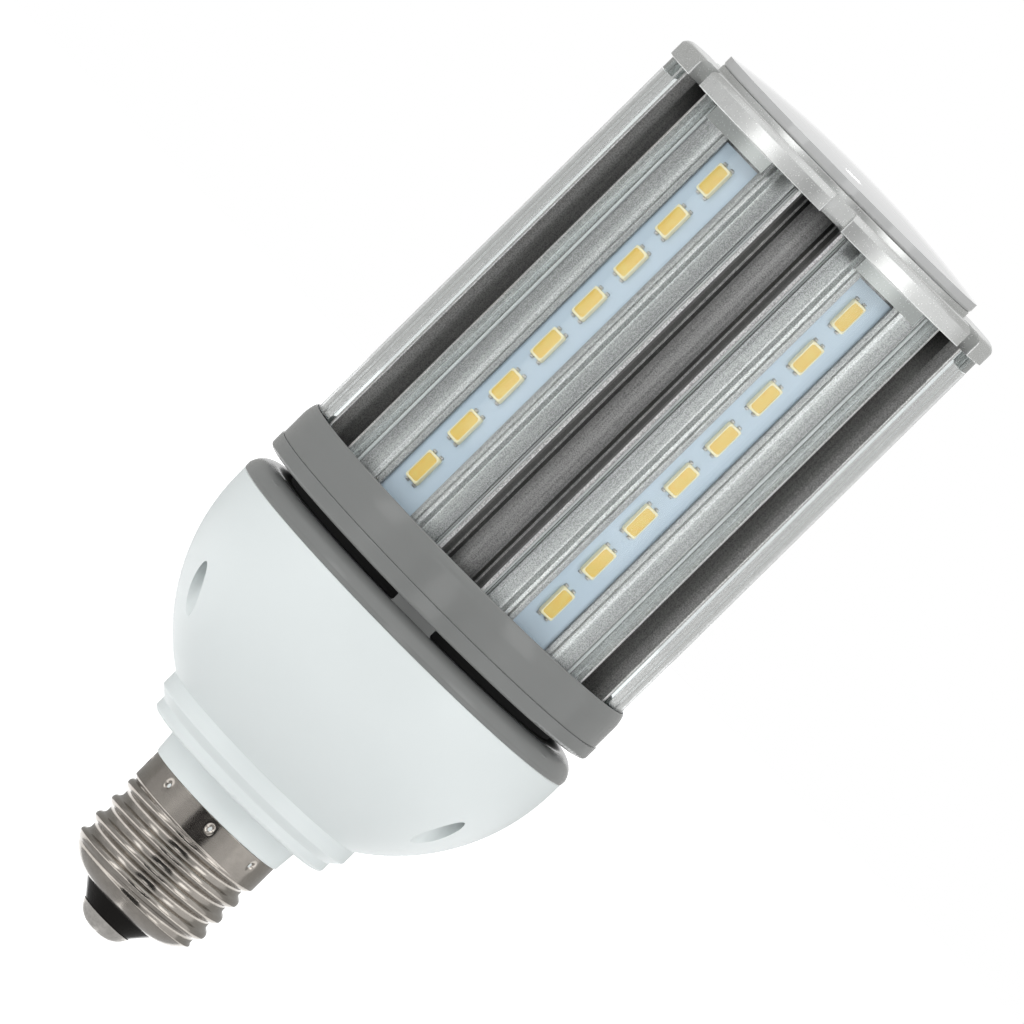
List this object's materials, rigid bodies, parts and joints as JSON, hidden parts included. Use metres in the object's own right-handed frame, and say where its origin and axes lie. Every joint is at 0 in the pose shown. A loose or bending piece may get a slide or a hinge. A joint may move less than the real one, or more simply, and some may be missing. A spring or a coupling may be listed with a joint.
{
  "type": "corn led bulb",
  "caption": "Upright LED lamp with an Edison screw base, a domed driver housing and a faceted head of LED strips under clear lenses round a finned heat sink.",
  "frame": {"origin": "tip of the centre contact of the screw base, on the lamp's axis", "axes": "+Z along the lamp's axis from the screw base to the head, -Y through the middle of one channel"},
  "size_m": [0.0714, 0.0714, 0.1716],
  "materials": {
    "contact_metal": "tinned, dull",
    "insulator_black": "black, smooth",
    "shell_nickel": "nickel plated, rolled",
    "housing_white": "cool white, satin moulded",
    "screw_steel": "zinc plated",
    "ring_grey": "mid grey, glossy moulded",
    "sink_aluminium": "sand blasted",
    "cap_plastic": "translucent pale grey",
    "disc_plastic": "pale grey, glossy",
    "lens_clear": "clear plastic",
    "board_pale_blue": "pale blue-grey solder mask",
    "package_white": "cream white",
    "phosphor_yellow": "yellow silicone",
    "driver_laminate": "brown laminate",
    "ferrite": "dark grey",
    "bobbin_black": "black",
    "winding_tape": "yellow tape",
    "can_sleeve": "dark sleeve",
    "film_case": "yellow case",
    "resistor_body": "green coat",
    "chip_black": "black",
    "wire_brown": "brown",
    "wire_blue": "blue",
    "wire_white": "white",
    "wire_red": "red",
    "wire_black": "black"
  },
  "bodies": {
    "root": {"centre_contact": "contact_metal", "base_insulator": "insulator_black", "screw_shell": "shell_nickel", "driver_housing": "housing_white", "housing_screws": "screw_steel", "vent_ring": "ring_grey", "lamp_collar": "ring_grey", "collar_screws": "screw_steel", "heat_sink": "sink_aluminium", "end_cap": "cap_plastic", "cap_screws": "screw_steel", "top_disc": "disc_plastic", "driver_board": "driver_laminate", "transformer_core": "ferrite", "transformer_bobbin": "bobbin_black", "transformer_winding": "winding_tape", "input_capacitor": "can_sleeve", "output_capacitor": "can_sleeve", "film_capacitor": "film_case", "fuse_resistor": "resistor_body", "bridge_rectifier": "chip_black", "controller_chip": "chip_black", "choke": "ferrite", "live_wire": "wire_brown", "neutral_wire": "wire_blue", "strip_jumpers": "wire_white", "positive_wire": "wire_red", "negative_wire": "wire_black", "lens_1": "lens_clear", "led_board_1": "board_pale_blue", "led_packages_1": "package_white", "led_phosphors_1": "phosphor_yellow", "lens_2": "lens_clear", "led_board_2": "board_pale_blue", "led_packages_2": "package_white", "led_phosphors_2": "phosphor_yellow", "lens_3": "lens_clear", "led_board_3": "board_pale_blue", "led_packages_3": "package_white", "led_phosphors_3": "phosphor_yellow", "lens_4": "lens_clear", "led_board_4": "board_pale_blue", "led_packages_4": "package_white", "led_phosphors_4": "phosphor_yellow", "lens_5": "lens_clear", "led_board_5": "board_pale_blue", "led_packages_5": "package_white", "led_phosphors_5": "phosphor_yellow", "lens_6": "lens_clear", "led_board_6": "board_pale_blue", "led_packages_6": "package_white", "led_phosphors_6": "phosphor_yellow"}
  },
  "joints": []
}
